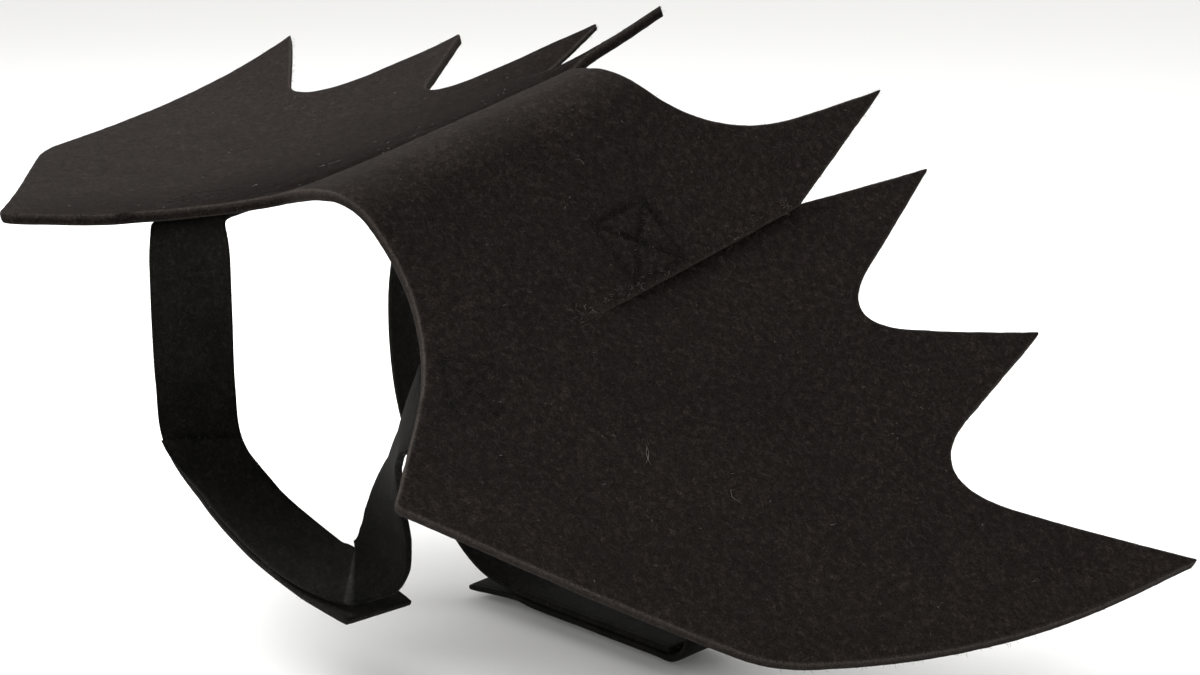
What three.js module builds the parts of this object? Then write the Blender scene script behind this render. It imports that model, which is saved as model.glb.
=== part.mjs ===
// Bat wings for a small pet: one thick felt sheet, bent over the back and cut as two wings with a
// lapped dart in each, and two loops of tape sewn under it, one round the neck and one under the belly.
// Millimetres, +Z up. The wearer looks along -Y, and the origin lies under the middle of the ridge.

import * as THREE from 'three';
import { TessellateModifier } from 'three/addons/modifiers/TessellateModifier.js';
import { mergeVertices } from 'three/addons/utils/BufferGeometryUtils.js';

// Felt and tape
const feltThickness = 3;
const tapeWidth = 20;
const tapeThickness = 1.8;
const seatGap = 0.3;
const sewnGap = 0.55;
const feltColour = 0x1c1817;
const tapeColour = 0x121212;

// The ridge rises toward the tail, leans a little, and is rounded for this far along the felt on each side
const ridgePitch = 14.5;
const ridgeLean = -6;
const ridgeBend = 16.5;
const ridgeMiddle = 42;

// How each side hangs at three cross sections, each so far behind the neck point. Droop is the slope below
// level past the ridge. Curl is what each 100 mm of felt adds to it, and tip is the same past tipStart.
const rightSections = [
  { back: -40, droop: 44.3, curl: -4.8, tip: -4.5 },
  { back: 40, droop: 52.1, curl: -9.8, tip: -11.9 },
  { back: 120, droop: 49.8, curl: -7.9, tip: -8.2 },
];
const leftSections = [
  { back: -40, droop: 1.8, curl: -6.2, tip: -4.1 },
  { back: 40, droop: 21, curl: -25.7, tip: 4.5 },
  { back: 120, droop: 18.6, curl: -18.3, tip: -4.7 },
];
const curlSpan = 100;
const tipStart = 90;

// Corners of one wing, laid flat: out from the spine, back from the neck point.
// Round is how far from the corner its curve starts and ends on the two sides.
const corners = [
  { name: 'neck point', out: 0, back: 0, round: 0 },
  { name: 'neck curve', out: 43.5, back: 2.8, round: 31 },
  { name: 'collar', out: 78.7, back: -40.8, round: 2 },
  { name: 'shoulder', out: 150, back: 11, round: 9 },
  { name: 'leading curve', out: 177.5, back: 61.5, round: 46 },
  { name: 'outer tip', out: 187, back: 122.5, round: 2 },
  { name: 'outer scallop', out: 132.5, back: 79.5, round: 25 },
  { name: 'middle tip', out: 119.5, back: 136.5, round: 2 },
  { name: 'inner scallop', out: 90, back: 91, round: 21.5 },
  { name: 'inner tip', out: 69.3, back: 146, round: 2 },
  { name: 'dart, under lip', out: 60.6, back: 106, round: 0 },
  { name: 'dart, under fold', out: 60.32, back: 37, round: 0 },
  { name: 'dart end', out: 60.3, back: 31, round: 0 },
  { name: 'dart, upper fold', out: 60.28, back: 37, round: 0 },
  { name: 'dart, upper lip', out: 60, back: 106, round: 0 },
  { name: 'rear tip', out: 44, back: 150.3, round: 2 },
  { name: 'tail curve', out: 34.5, back: 90, round: 34 },
  { name: 'tail point', out: 0, back: 85, round: 0 },
];

// Facets of the felt: steps of each curve, the longest edge of a facet across the spine, and how much
// longer it may be along the spine, where the felt hardly bends
const curveSteps = 5;
const longestEdge = 10;
const alongSpine = 2;
const splitRounds = 14;

// The dart: its outer lip drops under the inner one. The lap swells and shrinks again like half a sine wave,
// and the dart's mouth is at this share of that wave.
const dartLine = 60.3;
const dartStart = 31;
const dartLapStart = 37;
const dartEnd = 106;
const dartLap = 4;
const dartMouth = 0.86;
const dartDrop = feltThickness + seatGap;
const dartEase = 28;

// The left wing dips along its dart, from just before the mouth to the tips. The dip deepens over dipInner
// going out from the spine, is gone again past dipOuter, and is full from the end of dipBack.
const dipDepth = 2.8;
const dipInner = { from: 40, to: 56 };
const dipOuter = { from: 58, to: 76 };
const dipBack = { from: 98, to: 124 };

// Beside the ridge the left wing has a valley too, which fades toward the neck
const valleyDepth = 3;
const valleyInner = { from: 12, to: 25 };
const valleyOuter = { from: 26, to: 39 };
const valleyBack = { from: 0, to: 22 };

// Sewn ends of the tapes on the felt's underside: the middle of the stitched box, the tape's heading
// from straight forward toward the spine, and how far the sewn run goes each way along the tape
const sewnEnds = {
  frontLeft: { side: -1, out: 60.5, back: 3.5, heading: 22, before: 8, after: 6 },
  frontRight: { side: 1, out: 61.7, back: -4, heading: 30, before: 8, after: 6.5 },
  bellyLeft: { side: -1, out: 49, back: 62, heading: 90, before: 6, after: 6 },
  bellyRight: { side: 1, out: 49, back: 60, heading: 90, before: 6, after: 6 },
};

// Free runs of the tapes, a row for each section: its middle, the turn of its width from +Y toward +X,
// and the tip of its rear edge above level
const frontLeftRun = [
  { x: -56.4, y: -41.3, z: -23.2, turn: 61, tip: 4 },
  { x: -55.4, y: -42, z: -25.8, turn: 55, tip: 2 },
  { x: -54.9, y: -42.3, z: -32, turn: 43, tip: 1 },
  { x: -54.2, y: -42.7, z: -46, turn: 41, tip: 1 },
  { x: -53.7, y: -42.7, z: -63, turn: 47, tip: 0 },
  { x: -50.8, y: -43, z: -76.4, turn: 47, tip: 3 },
  { x: -38.8, y: -41, z: -88.9, turn: 22, tip: -5 },
  { x: -23, y: -38.7, z: -98, turn: 7, tip: 5 },
  { x: -6.8, y: -36.2, z: -104.1, turn: 1, tip: 8 },
  { x: 8, y: -34, z: -108.6, turn: -2, tip: 1 },
];
const frontRightRun = [
  { x: 39.3, y: -43.3, z: -49.2, turn: -58, tip: 42 },
  { x: 38.4, y: -44.2, z: -51.4, turn: -56, tip: 34 },
  { x: 36, y: -44.8, z: -55, turn: -55, tip: 20 },
  { x: 32.3, y: -45.1, z: -60, turn: -53, tip: 0 },
  { x: 27.2, y: -43.2, z: -66, turn: -57, tip: -8 },
  { x: 22.3, y: -41.2, z: -74.5, turn: -69, tip: -2 },
  { x: 17.4, y: -38, z: -84, turn: -82, tip: 10 },
  { x: 12.6, y: -35.4, z: -91.5, turn: -87, tip: 18 },
  { x: 6.6, y: -33.6, z: -97.4, turn: -84, tip: 23 },
  { x: 0, y: -35, z: -101.4, turn: -47, tip: 21 },
  { x: -1.6, y: -35.2, z: -101.9, turn: -43, tip: 20 },
];
const bellyLeftRun = [
  { x: -38.3, y: 22.6, z: -8.2, turn: 0, tip: 14 },
  { x: -37, y: 22.2, z: -10.4, turn: 0, tip: 9 },
  { x: -37.3, y: 21, z: -15, turn: 0, tip: 4 },
  { x: -39.3, y: 20.2, z: -26, turn: 0, tip: 1 },
  { x: -42, y: 19, z: -48, turn: 0, tip: 2 },
  { x: -42.2, y: 23.4, z: -80, turn: 6, tip: 2 },
  { x: -36.6, y: 34, z: -109.5, turn: 3, tip: 5 },
  { x: -30.6, y: 39.4, z: -120.2, turn: 3, tip: 7 },
  { x: -20, y: 42, z: -124, turn: 2, tip: 6 },
  { x: 10, y: 42.2, z: -125, turn: 0, tip: 5 },
  { x: 38, y: 42.4, z: -125.4, turn: 0, tip: 5 },
];
const bellyRightRun = [
  { x: 25.8, y: 23.9, z: -20.4, turn: 0, tip: 15 },
  { x: 23.8, y: 23.7, z: -21.2, turn: 0, tip: 12 },
  { x: 22.8, y: 23.6, z: -23.6, turn: 0, tip: 9 },
  { x: 23.2, y: 23.7, z: -29.6, turn: 0, tip: 4 },
  { x: 28.2, y: 24.6, z: -47.6, turn: 0, tip: 0 },
  { x: 36.5, y: 29.5, z: -75, turn: 0, tip: 0 },
  { x: 43.5, y: 38.5, z: -107, turn: 0, tip: 3 },
  { x: 44.4, y: 41.8, z: -118.6, turn: 0, tip: 5 },
  { x: 42.8, y: 42.3, z: -124.4, turn: 0, tip: 5 },
];
const bellyRightEnd = [
  { x: -38.4, y: 41.3, z: -127.5, turn: 0, tip: 5 },
];

// Length of a tape's facets and how many lie side by side, and how a sewn run leaves the felt:
// the last of it, and how far it drops there
const tapeStep = 2.6;
const tapeFacets = 2;
const foldLead = 2;
const foldDrop = 0.4;

// Where a right tape lies against the left one, from the first to the last of these rows of the left one's
// run, counted from 0: inside it at the neck and outside it under the belly
const frontLap = { firstRow: 7.5, lastRow: 5, inside: true };
const bellyLap = { firstRow: 10, lastRow: 8, inside: false };
const lapGap = 0.4;
const lapSteps = 10;

// Points closer than this are one point, and a turn smaller than this is straight
const samePoint = 0.001;
const straightTurn = 0.000001;

const radians = THREE.MathUtils.degToRad;

// A column of a side's sections at any distance behind the neck point, on a parabola through its rows
function sectionValue(sections, column, back) {
  let value = 0;
  for (const row of sections) {
    let weight = 1;
    for (const other of sections) {
      if (other !== row) weight *= (back - other.back) / (row.back - other.back);
    }
    value += weight * row[column];
  }
  return value;
}

// End of an arc that starts at a downward slope and turns evenly further down along its length
function arcEnd(slope, turn, length) {
  if (Math.abs(turn) < straightTurn) {
    return { x: Math.cos(slope) * length, z: -Math.sin(slope) * length };
  }
  const radius = length / turn;
  return {
    x: radius * (Math.sin(slope + turn) - Math.sin(slope)),
    z: radius * (Math.cos(slope + turn) - Math.cos(slope)),
  };
}

// A point of the flat felt carried to where it hangs; rise is its height above the felt's underside
function hang(out, back, rise) {
  const side = out < 0 ? -1 : 1;
  const way = Math.abs(out);
  const lean = radians(side * ridgeLean);
  const sections = side < 0 ? leftSections : rightSections;
  const droop = radians(sectionValue(sections, 'droop', back));
  const curl = radians(sectionValue(sections, 'curl', back)) / curlSpan;
  const tipCurl = radians(sectionValue(sections, 'tip', back)) / curlSpan;
  const onRidge = Math.min(way, ridgeBend);
  const onWing = Math.min(way - onRidge, tipStart);
  const onTip = way - onRidge - onWing;
  const ridgeTurn = (droop - lean) * onRidge / ridgeBend;
  const wingTurn = curl * onWing;
  const tipTurn = tipCurl * onTip;
  const ridgeEnd = arcEnd(lean, ridgeTurn, onRidge);
  const wingEnd = arcEnd(droop, wingTurn, onWing);
  const tipEnd = arcEnd(droop + wingTurn, tipTurn, onTip);
  const slope = lean + ridgeTurn + wingTurn + tipTurn;
  const above = rise - feltThickness;
  const across = ridgeEnd.x + wingEnd.x + tipEnd.x + above * Math.sin(slope);
  const height = ridgeEnd.z + wingEnd.z + tipEnd.z + above * Math.cos(slope) + feltThickness;
  const pitch = radians(ridgePitch);
  const along = back - ridgeMiddle;
  return new THREE.Vector3(
    side * across,
    along * Math.cos(pitch) - height * Math.sin(pitch),
    along * Math.sin(pitch) + height * Math.cos(pitch),
  );
}

// Lips of the dart: what lies outside its line slides under what lies inside it
function lapDart(out, back, rise) {
  const way = Math.abs(out) - dartLine;
  if (way <= 0 || back <= dartStart) return { out, rise };
  const ease = 1 - THREE.MathUtils.smoothstep(way, 0, dartEase);
  const drop = dartDrop * THREE.MathUtils.smoothstep(back, dartStart, dartLapStart);
  const reach = THREE.MathUtils.clamp((back - dartLapStart) / (dartEnd - dartLapStart), 0, 1);
  const lap = dartLap * Math.sin(Math.PI * dartMouth * reach);
  return { out: out - Math.sign(out) * lap * ease, rise: rise - drop * ease };
}

// How far the left wing dips, along its dart and beside the ridge
function leftDip(out, back) {
  if (out > 0) return 0;
  const share = (value, { from, to }) => THREE.MathUtils.smoothstep(value, from, to);
  const dip = dipDepth * (share(-out, dipInner) - share(-out, dipOuter)) * share(back, dipBack);
  const valley = valleyDepth * (share(-out, valleyInner) - share(-out, valleyOuter)) * share(back, valleyBack);
  return dip + valley;
}

// One wing's edge from the neck point to the tail point, every corner with its curve
function wingEdge() {
  const edge = new THREE.Path();
  const at = corners.map((corner) => new THREE.Vector2(corner.out, corner.back));
  edge.moveTo(at[0].x, at[0].y);
  for (let i = 1; i < at.length - 1; i += 1) {
    const reach = corners[i].round;
    const before = at[i - 1].clone().sub(at[i]).setLength(reach).add(at[i]);
    const after = at[i + 1].clone().sub(at[i]).setLength(reach).add(at[i]);
    edge.lineTo(before.x, before.y);
    if (reach > 0) edge.quadraticCurveTo(at[i].x, at[i].y, after.x, after.y);
  }
  edge.lineTo(at.at(-1).x, at.at(-1).y);
  return edge.getPoints(curveSteps);
}

// Geometry that keeps only its points, each corner point shared by the faces round it
function closed(geometry) {
  geometry.deleteAttribute('normal');
  geometry.deleteAttribute('uv');
  return mergeVertices(geometry, samePoint);
}

// Every point of a geometry moved by a function, and its faces' normals made again
function reshape(geometry, move) {
  const points = geometry.getAttribute('position');
  for (let i = 0; i < points.count; i += 1) {
    const moved = move(points.getX(i), points.getY(i), points.getZ(i));
    points.setXYZ(i, moved.x, moved.y, moved.z);
  }
  geometry.computeVertexNormals();
  return geometry;
}

function wingSheet() {
  const edge = wingEdge();
  const mirrored = edge.slice(1, -1).reverse().map((point) => new THREE.Vector2(-point.x, point.y));
  const outline = new THREE.Shape([...edge, ...mirrored]);
  const flat = new THREE.ExtrudeGeometry(outline, { depth: feltThickness, bevelEnabled: false });
  flat.scale(1, 1 / alongSpine, 1);
  const fine = new TessellateModifier(longestEdge, splitRounds).modify(flat);
  fine.scale(1, alongSpine, 1);
  return reshape(closed(fine), (out, back, rise) => {
    const lapped = lapDart(out, back, rise);
    return hang(lapped.out, back, lapped.rise - leftDip(out, back));
  });
}

// Sections of a tape's sewn run, each with its middle and the direction of its width
function sewnRun({ side, out, back, heading, before, after }) {
  const turn = radians(heading);
  const rise = -sewnGap - tapeThickness / 2;
  const steps = [-before, 0, after - foldLead, after];
  return steps.map((step) => {
    const middle = { out: out - Math.sin(turn) * step, back: back - Math.cos(turn) * step };
    const width = { out: -Math.cos(turn), back: Math.sin(turn) };
    const drop = step === after ? foldDrop : 0;
    const place = (offset) => hang(
      side * (middle.out + width.out * offset),
      middle.back + width.back * offset,
      rise - drop,
    );
    const across = place(1).sub(place(-1)).normalize();
    return { at: place(0), across };
  });
}

// Sections of a tape's free run, from its table
function freeRun(rows) {
  return rows.map(({ x, y, z, turn, tip }) => {
    const across = new THREE.Vector3(
      Math.sin(radians(turn)) * Math.cos(radians(tip)),
      Math.cos(radians(turn)) * Math.cos(radians(tip)),
      Math.sin(radians(tip)),
    );
    return { at: new THREE.Vector3(x, y, z), across };
  });
}

// A smooth path through a tape's sections, which gives its frame at any part of the way
function tapePath(stations) {
  const curve = new THREE.CatmullRomCurve3(stations.map((station) => station.at), false, 'centripetal');
  const last = stations.length - 1;
  const frame = (t) => {
    const row = Math.min(Math.floor(t * last), last - 1);
    const across = stations[row].across.clone().lerp(stations[row + 1].across, t * last - row).normalize();
    const along = curve.getTangent(t);
    const out = across.clone().cross(along).normalize();
    return { at: curve.getPoint(t), across, out };
  };
  return { curve, frame, last };
}

// Sections that follow another tape, a tape's thickness away; the other one's free run starts at freeRow
function lappedRun(path, freeRow, { firstRow, lastRow, inside }) {
  const lift = (tapeThickness + lapGap) * (inside ? -1 : 1);
  return Array.from({ length: lapSteps + 1 }, (_, step) => {
    const row = freeRow + firstRow + (lastRow - firstRow) * step / lapSteps;
    const { at, across, out } = path.frame(row / path.last);
    return { at: at.addScaledVector(out, lift), across };
  });
}

// A flat strip of tape bent along its path
function tapeStrip(path) {
  const length = path.curve.getLength();
  const steps = Math.round(length / tapeStep);
  const strip = new THREE.BoxGeometry(tapeWidth, length, tapeThickness, tapeFacets, steps, 1);
  return reshape(closed(strip), (wide, far, thick) => {
    const t = path.curve.getUtoTmapping(THREE.MathUtils.clamp(far / length + 0.5, 0, 1));
    const { at, across, out } = path.frame(t);
    return at.addScaledVector(across, wide).addScaledVector(out, thick);
  });
}

const felt = new THREE.MeshStandardMaterial({ color: feltColour, roughness: 0.95, metalness: 0 });
const tape = new THREE.MeshStandardMaterial({ color: tapeColour, roughness: 0.8, metalness: 0 });

const sewn = Object.fromEntries(Object.entries(sewnEnds).map(([name, end]) => [name, sewnRun(end)]));
const frontLeft = tapePath([...sewn.frontLeft, ...freeRun(frontLeftRun)]);
const bellyLeft = tapePath([...sewn.bellyLeft, ...freeRun(bellyLeftRun)]);
const frontRight = tapePath([
  ...sewn.frontRight,
  ...freeRun(frontRightRun),
  ...lappedRun(frontLeft, sewn.frontLeft.length, frontLap),
]);
const bellyRight = tapePath([
  ...sewn.bellyRight,
  ...freeRun(bellyRightRun),
  ...lappedRun(bellyLeft, sewn.bellyLeft.length, bellyLap),
  ...freeRun(bellyRightEnd),
]);

const pieces = [
  { name: 'wing_sheet', geometry: wingSheet(), material: felt },
  { name: 'front_strap_left', geometry: tapeStrip(frontLeft), material: tape },
  { name: 'front_strap_right', geometry: tapeStrip(frontRight), material: tape },
  { name: 'belly_strap_left', geometry: tapeStrip(bellyLeft), material: tape },
  { name: 'belly_strap_right', geometry: tapeStrip(bellyRight), material: tape },
];

const wings = new THREE.Group();
for (const { name, geometry, material } of pieces) {
  const piece = new THREE.Mesh(geometry, material);
  piece.name = name;
  wings.add(piece);
}

export default wings;
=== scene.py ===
import math

import bpy
import numpy as np
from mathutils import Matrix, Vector, kdtree, noise
from mathutils.geometry import delaunay_2d_cdt


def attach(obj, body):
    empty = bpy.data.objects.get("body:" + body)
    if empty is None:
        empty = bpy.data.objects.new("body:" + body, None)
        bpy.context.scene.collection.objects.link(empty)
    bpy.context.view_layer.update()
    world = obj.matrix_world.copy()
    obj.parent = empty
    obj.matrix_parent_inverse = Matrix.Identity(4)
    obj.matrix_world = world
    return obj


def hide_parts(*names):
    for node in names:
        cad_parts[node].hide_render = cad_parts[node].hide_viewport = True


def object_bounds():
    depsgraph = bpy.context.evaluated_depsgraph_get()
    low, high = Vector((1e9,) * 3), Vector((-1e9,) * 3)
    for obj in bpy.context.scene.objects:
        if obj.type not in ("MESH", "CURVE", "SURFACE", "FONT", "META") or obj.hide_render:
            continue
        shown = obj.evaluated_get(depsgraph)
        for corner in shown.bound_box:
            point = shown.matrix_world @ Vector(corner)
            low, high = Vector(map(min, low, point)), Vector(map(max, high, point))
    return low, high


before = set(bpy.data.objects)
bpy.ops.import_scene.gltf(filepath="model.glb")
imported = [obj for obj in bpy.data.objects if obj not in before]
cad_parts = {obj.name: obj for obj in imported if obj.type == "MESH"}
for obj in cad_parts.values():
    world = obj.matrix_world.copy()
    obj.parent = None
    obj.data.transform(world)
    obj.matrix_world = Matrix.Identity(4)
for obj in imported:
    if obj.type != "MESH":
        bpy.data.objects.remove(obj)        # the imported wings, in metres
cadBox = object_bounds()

mm = 0.001               # the tables below are in millimetres
rng = np.random.default_rng(31)
print("frame loaded:", ", ".join(sorted(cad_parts)))


# Camera, floor and light

view = {
    "azimuth": 47.8,     # degrees from straight in front, toward the drooping wing
    "elevation": 12.9,
    "distance": 680.0,
    "target": (-15.6, 57.95, -60.0),
    "lens": 77.83,       # on a sensor 36 mm wide
    "clipStart": 10.0,
}


def setCamera():
    turn, lift = math.radians(view["azimuth"]), math.radians(view["elevation"])
    back = Vector((math.sin(turn) * math.cos(lift), -math.cos(turn) * math.cos(lift), math.sin(lift)))
    camera = bpy.data.objects.new("camera", bpy.data.cameras.new("camera"))
    camera.data.lens = view["lens"]
    camera.data.sensor_fit = "HORIZONTAL"
    camera.data.clip_start = view["clipStart"] * mm
    camera.location = (Vector(view["target"]) + back * view["distance"]) * mm
    camera.rotation_euler = back.to_track_quat("Z", "Y").to_euler()
    bpy.context.collection.objects.link(camera)
    bpy.context.scene.camera = camera


studio = {
    "floorSize": 9.0,    # metres
    "floorBelow": 1.5,   # under the lowest tape, mm
    "floorColour": (0.86, 0.86, 0.85),
    "floorRoughness": 0.9,
    "skyColour": (1.0, 0.995, 0.985),
    "skyStrength": 0.95,
}
lamps = [                # place, aim and size in metres
    {"name": "topLight", "at": (-0.5, -0.16, 0.62), "aim": (-0.1, -0.02, 0.0), "size": 0.6, "watts": 13.0},
    {"name": "frontFill", "at": (0.7, -0.9, 0.45), "aim": (0.0, 0.0, -0.05), "size": 1.1, "watts": 4.4},
]


def setStudio():
    size = studio["floorSize"] / 2
    low = cadBox[0][2] - studio["floorBelow"] * mm
    corners = [(-size, -size, low), (size, -size, low), (size, size, low), (-size, size, low)]
    mesh = bpy.data.meshes.new("floor")
    mesh.from_pydata(corners, [], [(0, 1, 2, 3)])
    floor = bpy.data.objects.new("floor", mesh)
    bpy.context.collection.objects.link(floor)
    material, _, shader = newMaterial("paleFloor")
    shader.inputs["Base Color"].default_value = (*studio["floorColour"], 1)
    shader.inputs["Roughness"].default_value = studio["floorRoughness"]
    mesh.materials.append(material)
    world = bpy.data.worlds.new("studioSky")
    world.use_nodes = True
    sky = world.node_tree.nodes["Background"]
    sky.inputs["Color"].default_value = (*studio["skyColour"], 1)
    sky.inputs["Strength"].default_value = studio["skyStrength"]
    bpy.context.scene.world = world
    for lamp in lamps:
        light = bpy.data.lights.new(lamp["name"], "AREA")
        light.shape = "DISK"
        light.size = lamp["size"]
        light.energy = lamp["watts"]
        holder = bpy.data.objects.new(lamp["name"], light)
        holder.location = lamp["at"]
        away = Vector(lamp["at"]) - Vector(lamp["aim"])
        holder.rotation_euler = away.to_track_quat("Z", "Y").to_euler()
        bpy.context.collection.objects.link(holder)
    bpy.context.scene.view_settings.view_transform = "Standard"


# Small helpers for nodes and meshes

def newMaterial(name):
    material = bpy.data.materials.new(name)
    material.use_nodes = True
    tree = material.node_tree
    return material, tree, tree.nodes["Principled BSDF"]


def addNode(tree, kind, settings=None, **values):
    node = tree.nodes.new(kind)
    for key, value in (settings or {}).items():
        setattr(node, key, value)
    for key, value in values.items():
        node.inputs[key].default_value = value
    return node


def attributeNode(tree, name):
    return addNode(tree, "ShaderNodeAttribute", {"attribute_name": name})


def objectPlace(tree):
    return addNode(tree, "ShaderNodeTexCoord").outputs["Object"]


# A link where the value comes from another node, a plain number otherwise
def feed(tree, value, socket):
    if isinstance(value, bpy.types.NodeSocket):
        tree.links.new(value, socket)
    else:
        socket.default_value = value


def ramp(tree, source, stops):
    node = addNode(tree, "ShaderNodeValToRGB")
    tree.links.new(source, node.inputs["Fac"])
    points = node.color_ramp.elements
    while len(points) < len(stops):
        points.new(0.5)
    for point, (place, colour) in zip(points, stops):
        point.position = place
        point.color = (*colour, 1)
    return node.outputs["Color"]


def mixColour(tree, share, first, second, blend="MIX"):
    node = addNode(tree, "ShaderNodeMix", {"data_type": "RGBA", "blend_type": blend})
    for value, place in ((share, 0), (first, 6), (second, 7)):     # the factor and the two colours
        feed(tree, value, node.inputs[place])
    return node.outputs[2]


def multiplied(tree, first, second):
    return mixColour(tree, 1.0, first, second, "MULTIPLY")


def doMath(tree, operation, first, second=0.0):
    node = addNode(tree, "ShaderNodeMath", {"operation": operation})
    feed(tree, first, node.inputs[0])
    feed(tree, second, node.inputs[1])
    return node.outputs[0]


def grainOf(tree, place, scale, detail, roughness, distortion=0.0):
    node = addNode(
        tree, "ShaderNodeTexNoise",
        Scale=scale, Detail=detail, Roughness=roughness, Distortion=distortion,
    )
    tree.links.new(place, node.inputs["Vector"])
    return node.outputs["Fac"]


def raiseBump(tree, shader, height, strength, distance):
    node = addNode(tree, "ShaderNodeBump", Strength=strength, Distance=distance)
    tree.links.new(height, node.inputs["Height"])
    tree.links.new(node.outputs["Normal"], shader.inputs["Normal"])


# Wool, lint, yarn and thread: one run of colours over a fine grain
def fibreMaterial(finish):
    material, tree, shader = newMaterial(finish["name"])
    grain = grainOf(tree, objectPlace(tree), finish["scale"], detail=2.0, roughness=0.6)
    tree.links.new(ramp(tree, grain, finish["colours"]), shader.inputs["Base Color"])
    shader.inputs["Roughness"].default_value = finish["roughness"]
    shader.inputs["Specular IOR Level"].default_value = finish["gloss"]
    if "bump" in finish:
        raiseBump(tree, shader, grain, *finish["bump"])
    return material


def addPiece(name, places, faces, material):
    mesh = bpy.data.meshes.new(name)
    mesh.from_pydata((np.asarray(places) * mm).tolist(), [], faces)
    mesh.polygons.foreach_set("use_smooth", np.ones(len(mesh.polygons), dtype=bool))
    mesh.materials.append(material)
    mesh.update()
    piece = bpy.data.objects.new(name, mesh)
    bpy.context.collection.objects.link(piece)
    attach(piece, "root")
    return piece


def addAttribute(piece, name, values):
    values = np.asarray(values, dtype=np.float32)
    kind, field = ("FLOAT", "value") if values.ndim == 1 else ("FLOAT_VECTOR", "vector")
    layer = piece.data.attributes.new(name, kind, "POINT")
    layer.data.foreach_set(field, values.ravel())


def unit(vectors):
    return vectors / np.maximum(np.linalg.norm(vectors, axis=-1, keepdims=True), 1e-9)


def smoothstep(value, low, high):
    share = np.clip((value - low) / (high - low), 0, 1)
    return share * share * (3 - 2 * share)


def signedArea(outline):
    ahead = np.roll(outline, -1, axis=0)
    return np.sum(outline[:, 0] * ahead[:, 1] - outline[:, 1] * ahead[:, 0]) / 2


# Soft lumps over flat points; each wave has its pitch, its height and its place in the noise
def waviness(points, waves, seed=0.0):
    total = np.zeros(len(points))
    for pitch, height, shift in waves:
        lumps = [noise.noise(Vector((a / pitch, b / pitch, seed + shift))) for a, b in points]
        total = total + np.array(lumps) * height
    return total


# Round threads and fibres: one closed tube along each path
def tubes(paths, normals, radii, sides):
    count, steps = paths.shape[:2]
    along = unit(np.gradient(paths, axis=1))
    across = unit(np.cross(along, normals))
    up = np.cross(across, along)
    angles = np.arange(sides) * 2 * math.pi / sides
    ring = np.cos(angles)[:, None] * up[:, :, None, :] + np.sin(angles)[:, None] * across[:, :, None, :]
    places = paths[:, :, None, :] + ring * radii[:, :, None, None]
    index = np.arange(count * steps * sides).reshape(count, steps, sides)
    ahead = np.roll(index, -1, axis=2)
    walls = np.stack([index[:, :-1], ahead[:, :-1], ahead[:, 1:], index[:, 1:]], axis=-1).reshape(-1, 4)
    starts = index[:, 0, ::-1]
    ends = index[:, -1]
    return places.reshape(-1, 3), walls.tolist() + starts.tolist() + ends.tolist()


# Felt: one sheet for both wings, cut flat and hung over the ridge

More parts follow.
